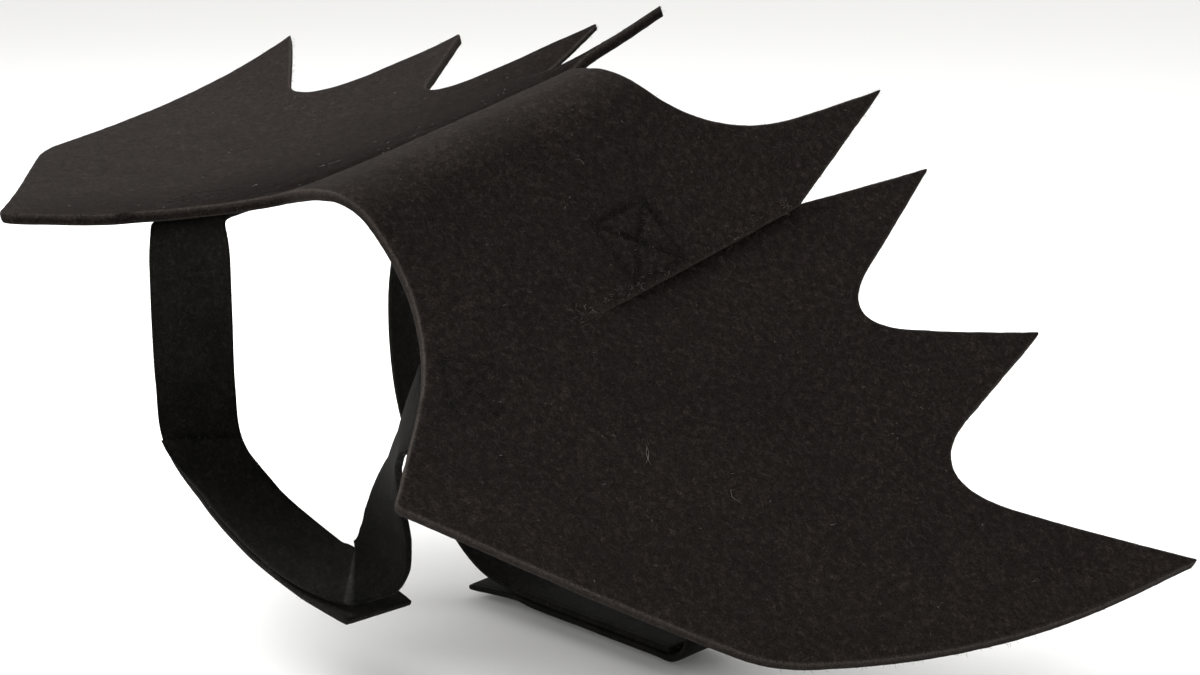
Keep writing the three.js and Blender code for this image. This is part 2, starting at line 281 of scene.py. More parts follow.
wingSheet = {
    "thickness": 3.0,
    "ridgePitch": 14.5,  # degrees, rising to the rear
    "ridgeLean": -6.0,   # degrees across the top of the ridge, falling toward the raised wing
    "ridgeBend": 16.5,   # the felt bends over the ridge this far out
    "ridgeMiddle": 42.0,
    "curlSpan": 100.0,
    "tipStart": 90.0,
    "rightSections": [   # slope past the ridge, and what each curlSpan adds to it before and past tipStart
        {"back": -40.0, "droop": 44.3, "curl": -4.8, "tip": -4.5},
        {"back": 40.0, "droop": 52.1, "curl": -9.8, "tip": -11.9},
        {"back": 120.0, "droop": 49.8, "curl": -7.9, "tip": -8.2},
    ],
    "leftSections": [
        {"back": -40.0, "droop": 1.8, "curl": -6.2, "tip": -4.1},
        {"back": 40.0, "droop": 21.0, "curl": -25.7, "tip": 4.5},
        {"back": 120.0, "droop": 18.6, "curl": -18.3, "tip": -4.7},
    ],
    "leftDips": [        # at the dart's mouth, and beside the ridge: its two slopes going out, and its start
        {"depth": 2.8, "inner": (40.0, 56.0), "outer": (58.0, 76.0), "back": (98.0, 124.0)},
        {"depth": 3.0, "inner": (12.0, 25.0), "outer": (26.0, 39.0), "back": (0.0, 22.0)},
    ],
    "corners": [         # out from the spine, back from the neck point, reach of the corner's curve
        (0.0, 0.0, 0.0),
        (43.5, 2.8, 31.0),
        (78.7, -40.8, 2.0),
        (150.0, 11.0, 9.0),
        (177.5, 61.5, 46.0),
        (187.0, 122.5, 2.0),
        (132.5, 79.5, 25.0),
        (119.5, 136.5, 2.0),
        (90.0, 91.0, 21.5),
        (69.3, 146.0, 2.0),
        (60.6, 106.0, 0.0),
        (60.32, 37.0, 0.0),
        (60.3, 31.0, 0.0),
        (60.28, 37.0, 0.0),
        (60.0, 106.0, 0.0),
        (44.0, 150.3, 2.0),
        (34.5, 90.0, 34.0),
        (0.0, 85.0, 0.0),
    ],
    "dartLine": 60.3,
    "dartStart": 31.0,
    "dartLapStart": 37.0,
    "dartEnd": 106.0,
    "dartLap": 4.0,
    "dartMouth": 0.86,   # where the mouth lies on the lap's half wave
    "dartEase": 28.0,    # the lap fades this far out from the line
    "lipPress": 0.62,    # share of their thickness that the two lips lose
    "lipFlat": (6.0, 14.0),      # the inner lip is thin this far from the line, and whole from here
    "lipGap": 0.3,
    "lipMeet": (1.1, 30.0),      # how much closer the lips are where the lap starts, easing off this far on
    "lipWidth": 1.5,     # the cut edges within this of the line are the lips'
    "lipPale": 0.4,      # how pale those are, next to the others
    "lipShade": 1.4,     # width of the painted shadow line just under the inner lip
    "lipShadeRun": 20.0,         # it comes up over this much of the lap
    "ridgeShadeInner": (12.0, 22.0),    # painted shade beside the ridge on the left starts here
    "ridgeShadeOuter": (34.0, 112.0),   # and fades out further out
    "edgeStep": 1.2,
    "curveSteps": 7,     # fewest steps round a corner
    "softEdge": 0.9,     # how far in from the cut the face starts to round over
    "softSearch": 40,    # edge points each way that are looked at for room
    "softRoom": 0.55,    # share of the room that the soft edge may take
    "softPasses": 4,
    "foldLimit": 0.3,    # at a dart's inner end the edge's two normals cancel to less than this
    "profile": [         # share of the soft edge, height, how ragged, how pale
        (1.0, 3.0, 0.0, 0.0), (0.45, 2.97, 0.25, 0.3), (0.14, 2.78, 0.8, 1.0), (0.0, 2.35, 1.0, 0.6),
        (-0.06, 1.5, 1.0, 0.1), (0.0, 0.65, 1.0, 0.1), (0.14, 0.22, 0.8, 0.5), (0.45, 0.03, 0.25, 0.2),
        (1.0, 0.0, 0.0, 0.0),
    ],
    "meshStep": 1.7,
    "meshStray": 0.12,   # share of the step that the points stray
    "seamClear": 1.9,    # the even field keeps this far from a seam, which has rows of its own
    "seamStep": 0.9,
    "seamRows": (-1.25, -0.6, 0.0, 0.6, 1.25),
    "ringClear": 0.85,   # least room to the soft edge
    "pointClear": 0.45,  # least room between two points
    "topFrom": (2.4, 2.95),      # heights where the upper face starts, and where it is whole
    "waves": [(34.0, 0.32, 1.3), (11.0, 0.13, 2.3), (3.4, 0.055, 3.3)],    # of the whole sheet
    "lumps": [(2.6, 0.05, 5.5)],                                           # of each face
    "raggedWaves": [(1.1, 0.09, 8.1), (4.0, 0.1, 9.3)],                    # of the cut edge
}


def sectionValue(rows, column, back):
    value = np.zeros_like(back)
    for row in rows:
        weight = np.ones_like(back)
        for other in rows:
            if other is not row:
                weight = weight * (back - other["back"]) / (row["back"] - other["back"])
        value += weight * row[column]
    return value


def arcEnd(slope, turn, length):
    chord = length * np.sinc(turn / (2 * math.pi))
    return chord * np.cos(slope + turn / 2), -chord * np.sin(slope + turn / 2)


# A point of the flat felt carried to where it hangs; rise is its height above the felt's underside
def hang(out, back, rise):
    out, back, rise = (np.asarray(value, dtype=float) for value in (out, back, rise))
    side = np.where(out < 0, -1.0, 1.0)
    way = np.abs(out)
    lean = side * math.radians(wingSheet["ridgeLean"])

    def pick(column):
        left = sectionValue(wingSheet["leftSections"], column, back)
        right = sectionValue(wingSheet["rightSections"], column, back)
        return np.radians(np.where(side < 0, left, right))

    droop = pick("droop")
    bend = wingSheet["ridgeBend"]
    onRidge = np.minimum(way, bend)
    onWing = np.minimum(way - onRidge, wingSheet["tipStart"])
    onTip = way - onRidge - onWing
    ridgeTurn = (droop - lean) * onRidge / bend
    wingTurn = pick("curl") * onWing / wingSheet["curlSpan"]
    tipTurn = pick("tip") * onTip / wingSheet["curlSpan"]
    ridgeX, ridgeZ = arcEnd(lean, ridgeTurn, onRidge)
    wingX, wingZ = arcEnd(droop, wingTurn, onWing)
    tipX, tipZ = arcEnd(droop + wingTurn, tipTurn, onTip)
    slope = lean + ridgeTurn + wingTurn + tipTurn
    above = rise - wingSheet["thickness"]
    across = ridgeX + wingX + tipX + above * np.sin(slope)
    height = ridgeZ + wingZ + tipZ + above * np.cos(slope) + wingSheet["thickness"]
    pitch = math.radians(wingSheet["ridgePitch"])
    along = back - wingSheet["ridgeMiddle"]
    return np.stack([
        side * across,
        along * math.cos(pitch) - height * math.sin(pitch),
        along * math.sin(pitch) + height * math.cos(pitch),
    ], axis=-1)


# What lies outside the dart's line slides under what lies inside it, both lips pressed thin
def lapDart(out, back, rise, outer):
    way = np.abs(out) - wingSheet["dartLine"]
    thick, press = wingSheet["thickness"], wingSheet["lipPress"]
    start, lapStart, end = wingSheet["dartStart"], wingSheet["dartLapStart"], wingSheet["dartEnd"]
    along = smoothstep(back, start, lapStart)
    ease = (1 - smoothstep(way, 0, wingSheet["dartEase"])) * outer
    reach = np.clip((back - lapStart) / (end - lapStart), 0, 1)
    lap = wingSheet["dartLap"] * np.sin(math.pi * wingSheet["dartMouth"] * reach)
    meet, meetRun = wingSheet["lipMeet"]
    gap = wingSheet["lipGap"] - meet * (1 - smoothstep(back, lapStart, lapStart + meetRun))
    under = thick * (2 * press - 1) - gap - press * rise
    thinner = press * along * (1 - smoothstep(-way, *wingSheet["lipFlat"])) * (1 - outer)
    return out - np.sign(out) * lap * ease, rise + under * ease * along + (thick - rise) * thinner


# How far the raised wing dips, along its dart and beside the ridge
def leftDip(out, back):
    drop = 0.0
    for dip in wingSheet["leftDips"]:
        across = smoothstep(-out, *dip["inner"]) - smoothstep(-out, *dip["outer"])
        drop = drop + dip["depth"] * across * smoothstep(back, *dip["back"])
    return drop


def beyondDart(out, back):
    return (np.abs(out) > wingSheet["dartLine"]) & (back > wingSheet["dartStart"])


def onFelt(out, back, rise, outer=None):
    out, back = np.asarray(out, dtype=float), np.asarray(back, dtype=float)
    outer = beyondDart(out, back) if outer is None else outer
    lapped, dropped = lapDart(out, back, np.asarray(rise, dtype=float), outer)
    return hang(lapped, back, dropped - leftDip(out, back))


def feltNormals(out, back, outer=None):
    return unit(onFelt(out, back, 1.0, outer) - onFelt(out, back, 0.0, outer))


def unevenness(points):
    return waviness(points, wingSheet["waves"])


# The whole cut edge, evenly stepped, starting at the neck point
def cutEdge():
    corners = np.array(wingSheet["corners"])
    points = [corners[0, :2]]
    for before, corner, after in zip(corners, corners[1:], corners[2:]):
        reach = corner[2]
        start = corner[:2] + unit(before[:2] - corner[:2]) * reach
        end = corner[:2] + unit(after[:2] - corner[:2]) * reach
        if reach == 0:
            points.append(corner[:2])
            continue
        steps = max(wingSheet["curveSteps"], math.ceil(2 * reach / wingSheet["edgeStep"]))
        for t in np.linspace(0, 1, steps + 1):
            points.append((1 - t) ** 2 * start + 2 * t * (1 - t) * corner[:2] + t * t * end)
    points.append(corners[-1, :2])
    stepped = []
    for first, second in zip(points, points[1:]):
        pieces = max(1, math.ceil(np.linalg.norm(second - first) / wingSheet["edgeStep"]))
        stepped += [first + (second - first) * i / pieces for i in range(pieces)]
    half = np.array(stepped + [points[-1]])
    return np.vstack([half, half[-2:0:-1] * (-1, 1)])


# Directions into the felt along its cut edge, and how far in the soft edge can reach there
def edgeInward(edge):
    ahead = unit(np.roll(edge, -1, axis=0) - edge)
    behind = np.roll(ahead, 1, axis=0)
    turn = 1 if signedArea(edge) > 0 else -1
    leftOf = np.stack([-ahead[:, 1], ahead[:, 0]], axis=1) * turn
    inward = leftOf + np.roll(leftOf, 1, axis=0)
    folded = np.linalg.norm(inward, axis=1) < wingSheet["foldLimit"]
    inward[folded] = (behind - ahead)[folded]
    inward = unit(inward)
    reach = np.full(len(edge), wingSheet["softEdge"])
    search = wingSheet["softSearch"]
    for shift in [*range(-search, 0), *range(1, search + 1)]:
        apart = np.roll(edge, -shift, axis=0) - edge
        facing = np.sum(apart * inward, axis=1)
        room = np.sum(apart ** 2, axis=1) / np.maximum(2 * facing, 1e-6)
        reach = np.minimum(reach, np.where(facing > 1e-4, wingSheet["softRoom"] * room, reach))
    for _ in range(wingSheet["softPasses"]):
        near = (np.roll(reach, 1) + reach + np.roll(reach, -1)) / 3
        reach = np.minimum(reach, near)
    return inward, reach


def insideOutline(points, outline):
    inside = np.zeros(len(points), dtype=bool)
    for (ax, ay), (bx, by) in zip(outline, np.roll(outline, -1, axis=0)):
        crosses = (ay > points[:, 1]) != (by > points[:, 1])
        if crosses.any():
            inside ^= crosses & (points[:, 0] < (bx - ax) * (points[:, 1] - ay) / (by - ay + 1e-12) + ax)
    return inside


# Boxes with a cross that sew the tapes under the felt; half sizes run along and across the tape

seams = {
    "frontLeft": {"side": -1, "out": 60.5, "back": 3.5, "heading": 22.0, "half": (6.2, 6.6), "dent": 0.22},
    "frontRight": {"side": 1, "out": 61.7, "back": -4.0, "heading": 30.0, "half": (6.2, 6.6), "dent": 0.22},
    "bellyLeft": {"side": -1, "out": 49.0, "back": 62.0, "heading": 90.0, "half": (8.6, 8.4), "dent": 0.4},
    "bellyRight": {"side": 1, "out": 49.0, "back": 60.0, "heading": 90.0, "half": (8.8, 8.4), "dent": 0.5},
}
thread = {
    "stitch": 2.5,       # length of a stitch and the gap between two
    "gap": 0.55,
    "radius": 0.18,
    "steps": 7,
    "sides": 6,
    "arch": 0.5,         # height of a stitch between its ends
    "sunkAbove": 0.95,   # share of the arch that is sunk in the felt
    "sunkBelow": 0.75,   # and in the tape
    "endRoom": 1.2,      # the boxes below keep this far from the ends of the sewn run
    "dentWidth": 0.85,
    "dentShare": 0.65,   # a dent is this deep on the whole, and deeper or shallower by its waves
    "dentWaves": [(5.0, 0.5, 3.7)],
    "seamShade": 2.1,   # how dark the painted shade is in a seam's dent
}


def seamLines(seam):
    turn = math.radians(seam["heading"])
    along = np.array([-math.sin(turn), -math.cos(turn)])
    wide = np.array([-math.cos(turn), math.sin(turn)])
    middle = np.array([seam["out"], seam["back"]])
    a, b = seam["half"]
    box = [middle + along * p * a + wide * q * b for p, q in ((-1, -1), (1, -1), (1, 1), (-1, 1))]
    pairs = [(0, 1), (1, 2), (2, 3), (3, 0), (0, 2), (1, 3)]
    return [np.array([box[i], box[j]]) * (seam["side"], 1) for i, j in pairs]


def lineDistance(points, line):
    start, run = line[0], line[1] - line[0]
    share = np.clip((points - start) @ run / (run @ run), 0, 1)
    return np.linalg.norm(points - start - share[:, None] * run, axis=1)


def seamDents(points):
    dent = np.zeros(len(points))
    strength = thread["dentShare"] + waviness(points, thread["dentWaves"])
    for seam in seams.values():
        for line in seamLines(seam):
            near = np.exp(-(lineDistance(points, line) / thread["dentWidth"]) ** 2)
            dent = np.maximum(dent, near * seam["dent"] * strength)
    return dent


# Flat points inside the soft edge: an even field, with closer rows along the seams
def feltField(ring):
    step = wingSheet["meshStep"]
    low, high = ring.min(axis=0), ring.max(axis=0)
    rows = np.arange(low[1], high[1], step * math.sqrt(3) / 2)
    field = []
    for i, back in enumerate(rows):
        outs = np.arange(low[0] + (i % 2) * step / 2, high[0], step)
        field.append(np.stack([outs, np.full(len(outs), back)], axis=1))
    field = np.vstack(field)
    field = field + rng.uniform(-wingSheet["meshStray"], wingSheet["meshStray"], field.shape) * step
    close = []
    for seam in seams.values():
        for line in seamLines(seam):
            field = field[lineDistance(field, line) > wingSheet["seamClear"]]
            length = np.linalg.norm(line[1] - line[0])
            share = np.linspace(0, 1, math.ceil(length / wingSheet["seamStep"]) + 1)
            run = line[0] + share[:, None] * (line[1] - line[0])
            sideways = np.array([line[0, 1] - line[1, 1], line[1, 0] - line[0, 0]]) / length
            close += [run + sideways * offset for offset in wingSheet["seamRows"]]
    field = np.vstack([field, *close])
    field = field[insideOutline(field, ring)]
    return thinnedField(field, ring)


# Points too near the soft edge, or another point, are left out
def thinnedField(field, ring):
    tree = kdtree.KDTree(len(ring) + len(field))
    for i, point in enumerate(np.vstack([ring, field])):
        tree.insert((*point, 0), i)
    tree.balance()
    kept, dropped = [], set()
    for i, point in enumerate(field):
        own = len(ring) + i
        for _, other, away in tree.find_range((*point, 0), wingSheet["ringClear"]):
            crowded = other < own and other not in dropped and away < wingSheet["pointClear"]
            if other < len(ring) or crowded:
                dropped.add(own)
                break
        if own not in dropped:
            kept.append(point)
    return np.array(kept)


# Walls round the cut edge, then the upper and lower faces, which share the edge's first and last rows
def feltFaces(ring, field, steps):
    count = len(ring)
    flatPoints = [Vector(point) for point in np.vstack([ring, field])]
    insideOnly, mergeWithin = 1, 1e-6
    _, _, made, origins, _, _ = delaunay_2d_cdt(
        flatPoints, [], [list(range(count))], insideOnly, mergeWithin,
    )
    triangles = np.array([[origins[i][0] for i in face] for face in made])
    index = np.arange(count * steps).reshape(steps, count)
    ahead = np.roll(index, -1, axis=1)
    walls = np.stack([index[:-1], index[1:], ahead[1:], ahead[:-1]], axis=-1).reshape(-1, 4)
    topOf = np.where(triangles < count, triangles, triangles - count + count * steps)
    underOf = np.where(triangles < count, triangles + count * (steps - 1), topOf + len(field))
    return walls.tolist() + topOf.tolist() + underOf[:, ::-1].tolist()


# Painted shade: a dark band left of the ridge, darker seam dents, and a painted shadow line just under the
# dart's inner lip
def paintedShade(flat, rise, outer, dents):
    out, back = flat.T
    besideRidge = smoothstep(-out, *wingSheet["ridgeShadeInner"]) - smoothstep(-out, *wingSheet["ridgeShadeOuter"])
    pressed = np.clip(dents * thread["seamShade"], 0, 1)
    lapped, _ = lapDart(out, back, rise, outer)
    lapStart, lapEnd = wingSheet["dartLapStart"], wingSheet["dartEnd"]
    underLip = np.exp(-((np.abs(lapped) - wingSheet["dartLine"]) / wingSheet["lipShade"]) ** 2) * outer
    underLip = underLip * smoothstep(back, lapStart, lapStart + wingSheet["lipShadeRun"])
    return np.maximum(np.maximum(besideRidge, pressed), underLip * (back < lapEnd))


def makeWingSheet(material):
    edge = cutEdge()
    inward, reach = edgeInward(edge)
    ring = edge + inward * reach[:, None]
    field = feltField(ring)
    bare = np.zeros(len(field))
    inset, heights, rough, pale = np.array(wingSheet["profile"]).T
    count, steps = len(edge), len(inset)
    points = np.vstack([*[edge + inward * (reach * share)[:, None] for share in inset], field, field])
    rise = np.concatenate([np.repeat(heights, count), bare + wingSheet["thickness"], bare])
    rough, pale = (np.concatenate([np.repeat(column, count), bare, bare]) for column in (rough, pale))
    outward = np.vstack([np.tile(-inward, (steps, 1)), np.zeros((2 * len(field), 2))])
    flat = points + outward * (waviness(points, wingSheet["raggedWaves"]) * rough)[:, None]
    outer = beyondDart(points[:, 0], points[:, 1])
    onTop = smoothstep(rise, *wingSheet["topFrom"])
    dents = seamDents(points) * onTop
    lumps = waviness(points, wingSheet["lumps"]) * (2 * onTop - 1)
    rise = rise + unevenness(points) + lumps - dents
    places = onFelt(flat[:, 0], flat[:, 1], rise, outer)
    sheet = addPiece("wing_felt", places, feltFaces(ring, field, steps), material)
    onLip = np.abs(np.abs(points[:, 0]) - wingSheet["dartLine"]) < wingSheet["lipWidth"]
    onLip = onLip & (points[:, 1] < wingSheet["dartEnd"])
    addAttribute(sheet, "paleRim", np.where(onLip, wingSheet["lipPale"], 1.0) * pale)
    # painted shade beside the ridge, in the seam dents and under the dart's inner lip
    addAttribute(sheet, "paintedShade", paintedShade(flat, rise, outer, dents))
    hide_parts("wing_sheet")
    return sheet, edge, inward, field


feltFinish = {
    "mottle": {"scale": 620.0, "detail": 5.0, "roughness": 0.7, "distortion": 0.6},
    "grain": {"scale": 2300.0, "detail": 4.0, "roughness": 0.65, "distortion": 1.2},
    "cloud": {"scale": 45.0, "detail": 3.0, "roughness": 0.5},
    "mottleColours": [
        (0.3, (0.0022, 0.0017, 0.0016)), (0.5, (0.0066, 0.0052, 0.0049)), (0.71, (0.02, 0.0162, 0.015)),
    ],
    "fleckShades": [(0.38, (0.3, 0.3, 0.3)), (0.55, (1.0, 1.0, 1.0)), (0.71, (3.2, 3.05, 2.85))],
    "cloudShades": [(0.3, (0.86, 0.85, 0.86)), (0.7, (1.14, 1.13, 1.12))],
    "paintedShadeRamp": [(0.0, (1.0, 1.0, 1.0)), (1.0, (0.6, 0.58, 0.57))],
    "rimColours": [(0.35, (0.011, 0.009, 0.0082)), (0.7, (0.062, 0.053, 0.047))],
    "roughness": 0.96,
    "gloss": (0.05, 0.036),      # with no painted shade, and how much the full painted shade takes off it
    "sheen": (0.034, 0.023),
    "sheenRoughness": 0.55,
    "sheenTint": (0.66, 0.53, 0.43),
    "relief": (0.8, 0.7),        # of the mottle and of the grain
    "bump": (0.95, 0.00045),     # strength, and depth in metres
}


def feltMaterial():
    finish = feltFinish
    material, tree, shader = newMaterial("blackFelt")
    place = objectPlace(tree)
    mottle, grain, cloud = (grainOf(tree, place, **finish[name]) for name in ("mottle", "grain", "cloud"))
    shadeShare = attributeNode(tree, "paintedShade").outputs["Fac"]
    rim = attributeNode(tree, "paleRim").outputs["Fac"]
    colour = ramp(tree, mottle, finish["mottleColours"])
    # the painted shade darkens the colour
    for source, shades in ((grain, "fleckShades"), (cloud, "cloudShades"), (shadeShare, "paintedShadeRamp")):
        colour = multiplied(tree, colour, ramp(tree, source, finish[shades]))
    colour = mixColour(tree, rim, colour, ramp(tree, grain, finish["rimColours"]))
    tree.links.new(colour, shader.inputs["Base Color"])
    # the painted shade also lowers the gloss and the sheen
    levels = {"Specular IOR Level": finish["gloss"], "Sheen Weight": finish["sheen"]}
    for socket, (standing, lost) in levels.items():
        level = doMath(tree, "SUBTRACT", standing, doMath(tree, "MULTIPLY", shadeShare, lost))
        tree.links.new(level, shader.inputs[socket])
    shader.inputs["Roughness"].default_value = finish["roughness"]
    shader.inputs["Sheen Roughness"].default_value = finish["sheenRoughness"]
    shader.inputs["Sheen Tint"].default_value = (*finish["sheenTint"], 1)
    lumps, fine = (doMath(tree, "MULTIPLY", *pair) for pair in zip((mottle, grain), finish["relief"]))
    raiseBump(tree, shader, doMath(tree, "ADD", lumps, fine), *finish["bump"])
    return material


# Loose wool on the felt: short fibres on both faces and along the cut edges

wool = {
    "onFaces": 5200,
    "onTop": 0.68,       # share of those on the upper face
    "length": (0.9, 2.6),
    "curl": 0.9,
    "sink": 0.02,
    "lift": (0.06, 0.32),
    "arch": 0.62,        # share of a half wave that a fibre's lift follows
    "dartClear": (3.2, 3.0),     # no fibres this near the dart's line, from this far ahead of its start
    "onEdges": 3400,
    "edgeLength": (0.5, 1.5),
    "edgeSpread": 0.75,
    "edgeCurl": 0.7,
    "edgeRoot": 0.15,    # in from the cut
    "edgeHeight": (0.25, 2.85),
    "edgeLift": 0.3,
    "edgeSide": 0.4,     # a point this far in tells which lip a fibre grows on
    "radius": 0.032,
    "radiusRange": (0.7, 1.3),
    "tip": 0.45,         # share of the radius left at the tip
    "steps": 4,
    "sides": 3,
}
woolFinish = {
    "name": "looseWool",
    "scale": 700.0,
    "colours": [(0.35, (0.008, 0.0066, 0.0062)), (0.68, (0.042, 0.035, 0.032))],
    "roughness": 0.85,
    "gloss": 0.08,
}


def fibrePaths(roots, headings, lengths, curls, starts, lifts, outer):
    share = np.linspace(0, 1, wool["steps"])
    way = lengths[:, None] * share
    angle = headings[:, None] + curls[:, None] * share
    out = roots[:, :1] + np.cos(angle) * way
    back = roots[:, 1:] + np.sin(angle) * way
    rise = starts[:, None] + lifts[:, None] * np.sin(math.pi * wool["arch"] * share)
    flags = np.repeat(outer[:, None], wool["steps"], axis=1)
    return onFelt(out, back, rise, flags), feltNormals(out, back, flags)


def makeWool(edge, inward, field, material):
    chosen = field[rng.integers(0, len(field), wool["onFaces"])]
    beside, before = wool["dartClear"]
    fromDart = np.abs(np.abs(chosen[:, 0]) - wingSheet["dartLine"])
    chosen = chosen[(fromDart > beside) | (chosen[:, 1] < wingSheet["dartStart"] - before)]
    count = len(chosen)
    onTop = rng.random(count) < wool["onTop"]
    lifts = rng.uniform(*wool["lift"], count)
    starts = np.where(onTop, wingSheet["thickness"] - wool["sink"], wool["sink"])
    faceParts = fibrePaths(
        chosen,
        rng.uniform(0, 2 * math.pi, count),
        rng.uniform(*wool["length"], count),
        rng.normal(0, wool["curl"], count),
        starts + unevenness(chosen),
        np.where(onTop, lifts, -lifts),
        beyondDart(chosen[:, 0], chosen[:, 1]),
    )
    count = wool["onEdges"]
    pick = rng.integers(0, len(edge), count)
    root, into = edge[pick], inward[pick]
    edgeParts = fibrePaths(
        root + into * wool["edgeRoot"],
        np.arctan2(-into[:, 1], -into[:, 0]) + rng.normal(0, wool["edgeSpread"], count),
        rng.uniform(*wool["edgeLength"], count),
        rng.normal(0, wool["edgeCurl"], count),
        rng.uniform(*wool["edgeHeight"], count) + unevenness(root),
        rng.normal(0, wool["edgeLift"], count),
        beyondDart(root[:, 0] + into[:, 0] * wool["edgeSide"], root[:, 1]),
    )
    paths, normals = (np.vstack(pair) for pair in zip(faceParts, edgeParts))
    taper = np.linspace(1.0, wool["tip"], wool["steps"])
    radii = wool["radius"] * rng.uniform(*wool["radiusRange"], (len(paths), 1)) * taper
    places, faces = tubes(paths, normals, radii, wool["sides"])
    return addPiece("felt_wool", places, faces, material)


# Pale lint caught in the felt: small specks, a few longer hairs, and fuzz along the dart's lip

lint = {
    "specks": 110,
    "speckLength": (0.3, 0.9),
    "speckRadius": 0.045,
    "speckCurl": 1.2,
    "dartClear": 2.5,    # no specks this near the dart's line
    "hairs": [           # where it starts on the felt, heading in degrees, length, curl
        {"at": (92.8, 24.9), "heading": 301.0, "length": 5.2, "curl": 0.5},
        {"at": (92.9, 24.8), "heading": 343.0, "length": 4.8, "curl": -0.5},
        {"at": (111.9, 36.6), "heading": 215.0, "length": 3.8, "curl": 2.2},
        {"at": (130.5, 51.0), "heading": 40.0, "length": 1.6, "curl": 0.6},
        {"at": (-53.9, 37.1), "heading": 300.0, "length": 3.4, "curl": 2.4},
        {"at": (-54.6, 35.8), "heading": 35.0, "length": 2.6, "curl": -1.6},
        {"at": (-57.0, 16.9), "heading": 20.0, "length": 3.6, "curl": -1.1},
        {"at": (26.0, 60.0), "heading": 160.0, "length": 2.4, "curl": 0.9},
    ],
    "hairRadius": 0.05,
    "lipFuzz": 75,       # on the drooping wing
    "lipPlace": (58.2, 1.2),     # how far out it lies, and its spread
    "lipCrowd": 1.7,     # over 1, more of it lies toward the dart's start
    "lipSpread": 0.7,    # of its heading, from straight back
    "lipLength": (0.5, 1.4),
    "lipRadius": 0.022,
    "lipCurl": 1.0,
    "above": 0.05,       # how high all of it lies over the felt
    "lift": 0.12,        # and how far it arches up
    "taper": (0.8, 1.0, 0.9, 0.5),
    "sides": 4,
}
lintFinish = {
    "name": "paleLint",
    "scale": 400.0,
    "colours": [(0.35, (0.04, 0.034, 0.031)), (0.65, (0.17, 0.155, 0.14))],
    "roughness": 0.8,
    "gloss": 0.5,
}


def makeLint(field, material):
    hairs, fuzz = lint["hairs"], lint["lipFuzz"]
    start, end = wingSheet["dartStart"], wingSheet["dartEnd"]
    lip = np.stack([
        rng.normal(*lint["lipPlace"], fuzz),
        start + (end - start) * rng.random(fuzz) ** lint["lipCrowd"],
    ], axis=1)
    specks = field[rng.integers(0, len(field), lint["specks"])]
    specks = specks[np.abs(np.abs(specks[:, 0]) - wingSheet["dartLine"]) > lint["dartClear"]]
    count = len(specks)
    roots = np.vstack([specks, [hair["at"] for hair in hairs], lip])
    headings = np.concatenate([
        rng.uniform(0, 2 * math.pi, count),
        np.radians([hair["heading"] for hair in hairs]),
        math.pi / 2 + rng.normal(0, lint["lipSpread"], fuzz),
    ])
    lengths = np.concatenate([
        rng.uniform(*lint["speckLength"], count),
        [hair["length"] for hair in hairs],
        rng.uniform(*lint["lipLength"], fuzz),
    ])
    curls = np.concatenate([
        rng.normal(0, lint["speckCurl"], count),
        [hair["curl"] for hair in hairs],
        rng.normal(0, lint["lipCurl"], fuzz),
    ])
    paths, normals = fibrePaths(
        roots, headings, lengths, curls,
        wingSheet["thickness"] + lint["above"] + unevenness(roots),
        np.full(len(roots), lint["lift"]),
        beyondDart(roots[:, 0], roots[:, 1]),
    )
    wide = np.repeat(
        [lint["speckRadius"], lint["hairRadius"], lint["lipRadius"]], [count, len(hairs), fuzz],
    )
    radii = wide[:, None] * np.array(lint["taper"])
    places, faces = tubes(paths, normals, radii, lint["sides"])
    return addPiece("felt_lint", places, faces, material)


# Tapes: hook-and-loop, sewn under the felt and lapped below the wearer

tapes = {
    "width": 20.0,
    "thickness": 1.8,
    "sewnGap": 0.55,
    "sewnRows": 4,       # sections of a sewn run, which come before those of the free run
    "foldLead": 2.0,
    "foldDrop": 0.4,
    "lapGap": 0.4,
    "lapSteps": 10,
    "step": 0.9,
    "measureSteps": 3000,
    "selvedge": [        # from the edge inward: share of the half width, share of the half thickness
        (1.0, 0.0), (0.996, 0.42), (0.984, 0.74), (0.962, 0.9), (0.93, 0.94), (0.9, 0.84), (0.87, 0.95),
        (0.8, 1.0),
    ],
    "middleRows": (-0.6, -0.4, -0.2, 0.0, 0.2, 0.4, 0.6),
    "pileWaves": [(1.6, 0.05, 0.0), (7.0, 0.06, 2.0)],
    "swayWaves": [(16.0, 0.11, 4.0)],    # how far both edges bend off the middle
    "seeds": (20.0, 7.0),        # of the first tape, and from each to the next
    "endPress": 0.22,    # the cut ends are pressed flatter by this share, over this reach
    "endReach": 1.0,
    "paintedLightAlong": {           # how far along each tape, and the painted light there: painted shade below 1, painted highlight above
        "front_tape_left": [(0, 1.15), (30, 1.1), (50, 0.75), (64, 0.5), (71, 0.55), (78, 1.1), (96, 1.25)],
        # painted shade on the panel, then a painted highlight along the fold at 85.6 to 86.6
        "front_tape_right": [
            (0, 0.8), (40, 0.7), (60, 0.5), (85, 0.55), (85.6, 2.2), (86.6, 2.2), (87.3, 1.0),
            (100, 1.0), (120, 0.75), (138, 0.55),
        ],
        "belly_tape_left": [(0, 1.1)],
        "belly_tape_right": [(0, 1.1)],
    },
}
sewnEnds = {             # how far the sewn run goes each way along the tape from its stitched box
    "frontLeft": (8.0, 6.0),
    "frontRight": (8.0, 6.5),
    "bellyLeft": (6.0, 6.0),
    "bellyRight": (6.0, 6.0),
}
